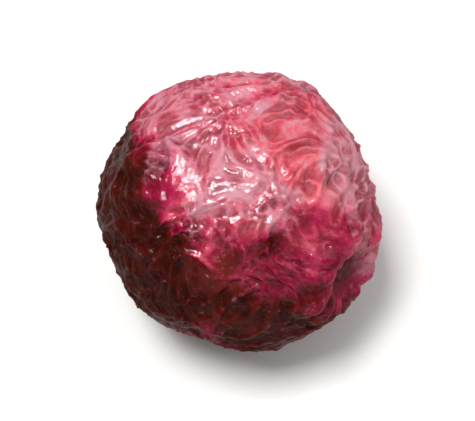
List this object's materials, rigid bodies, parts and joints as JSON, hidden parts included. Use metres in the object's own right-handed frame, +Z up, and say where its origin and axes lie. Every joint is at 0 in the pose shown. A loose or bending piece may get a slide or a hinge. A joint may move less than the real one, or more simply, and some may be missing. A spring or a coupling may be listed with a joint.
{
  "type": "dried plum",
  "caption": "Small dried plum, round and wrinkled, lying on its side on a small flat spot.",
  "frame": {"origin": "middle of the box's bottom face, in the flat spot that the fruit rests on", "axes": "+Z up from the resting spot, +X along the fruit's widest way, the stem end towards +X and -Y"},
  "size_m": [0.024, 0.0238, 0.022],
  "materials": {
    "skin": "satin"
  },
  "bodies": {
    "root": {"plum": "skin"}
  },
  "joints": []
}
